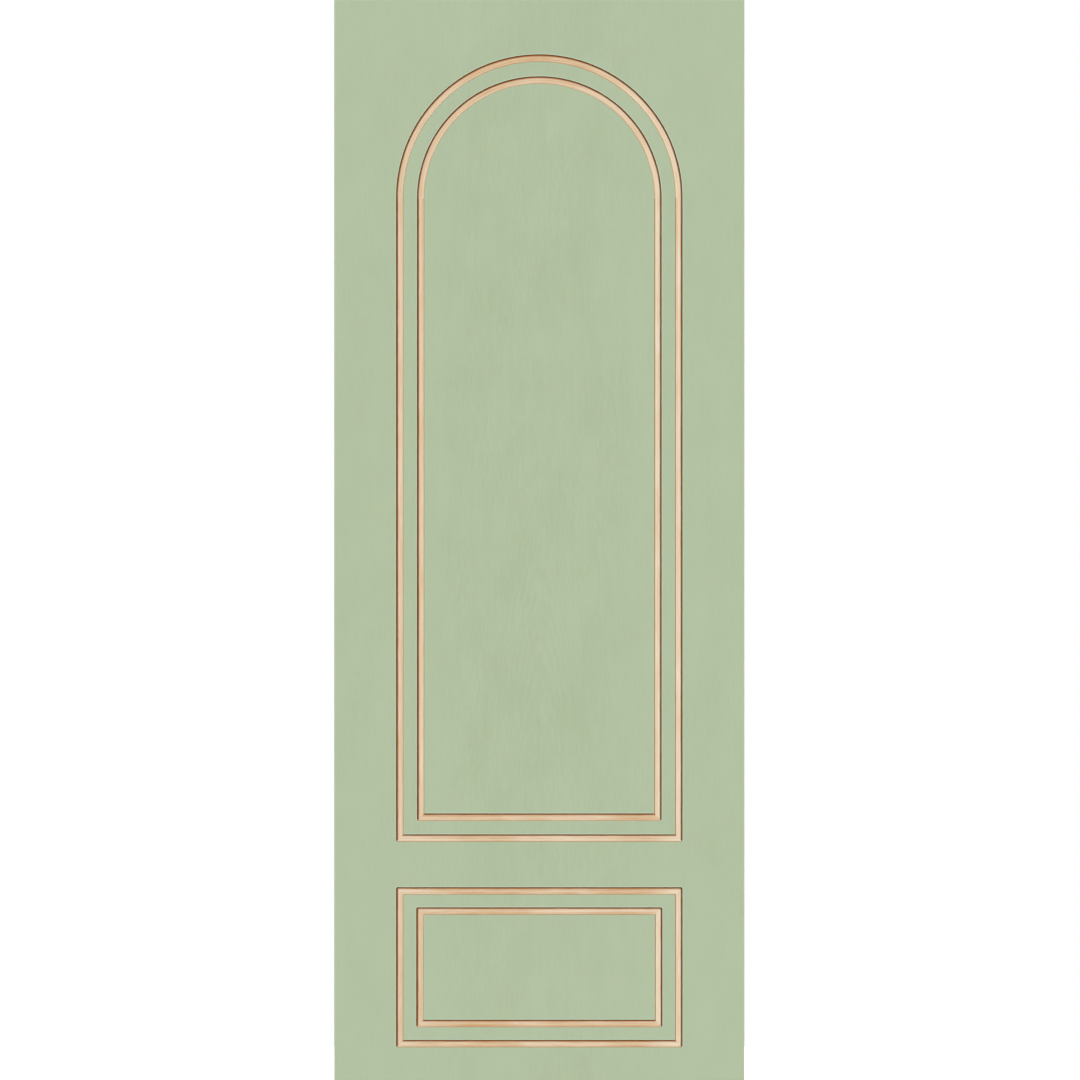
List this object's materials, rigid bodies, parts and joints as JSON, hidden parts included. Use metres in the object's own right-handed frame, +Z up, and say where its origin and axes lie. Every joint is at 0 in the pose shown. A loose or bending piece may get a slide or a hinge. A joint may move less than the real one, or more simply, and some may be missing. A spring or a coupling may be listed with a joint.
{
  "type": "flush door leaf",
  "caption": "Painted solid-core flush door leaf with inlaid bare-wood outlines: a tall double arch above a low double oblong.",
  "frame": {"origin": "middle of the leaf's width and thickness, at the height of its bottom edge", "axes": "+Z up along the leaf's height; the inlaid front face looks towards -Y; +X runs from the hinge edge to the latch edge"},
  "size_m": [0.81, 0.044, 2.134],
  "materials": {
    "painted_face": "sage green matt paint over open oak grain",
    "painted_lipping": "sage green matt paint over a planed hardwood edge",
    "bare_strip": "bare light hardwood, sanded, matt",
    "blank_timber": "planed softwood, unfinished",
    "dowel_beech": "turned beech, unfinished"
  },
  "bodies": {
    "root": {"hinge_lipping": "painted_lipping", "latch_lipping": "painted_lipping", "hinge_stile": "blank_timber", "latch_stile": "blank_timber", "top_rail": "blank_timber", "bottom_rail": "blank_timber", "core_stave_1": "blank_timber", "core_stave_2": "blank_timber", "core_stave_3": "blank_timber", "core_stave_4": "blank_timber", "core_stave_5": "blank_timber", "core_stave_6": "blank_timber", "core_stave_7": "blank_timber", "core_stave_8": "blank_timber", "frame_dowels": "dowel_beech", "front_face": "painted_face", "back_face": "painted_face", "outer_arch_bend": "bare_strip", "outer_arch_left": "bare_strip", "outer_arch_right": "bare_strip", "outer_arch_foot": "bare_strip", "inner_arch_bend": "bare_strip", "inner_arch_left": "bare_strip", "inner_arch_right": "bare_strip", "inner_arch_foot": "bare_strip", "lower_outer_top": "bare_strip", "lower_outer_left": "bare_strip", "lower_outer_right": "bare_strip", "lower_outer_foot": "bare_strip", "lower_inner_top": "bare_strip", "lower_inner_left": "bare_strip", "lower_inner_right": "bare_strip", "lower_inner_foot": "bare_strip"}
  },
  "joints": []
}
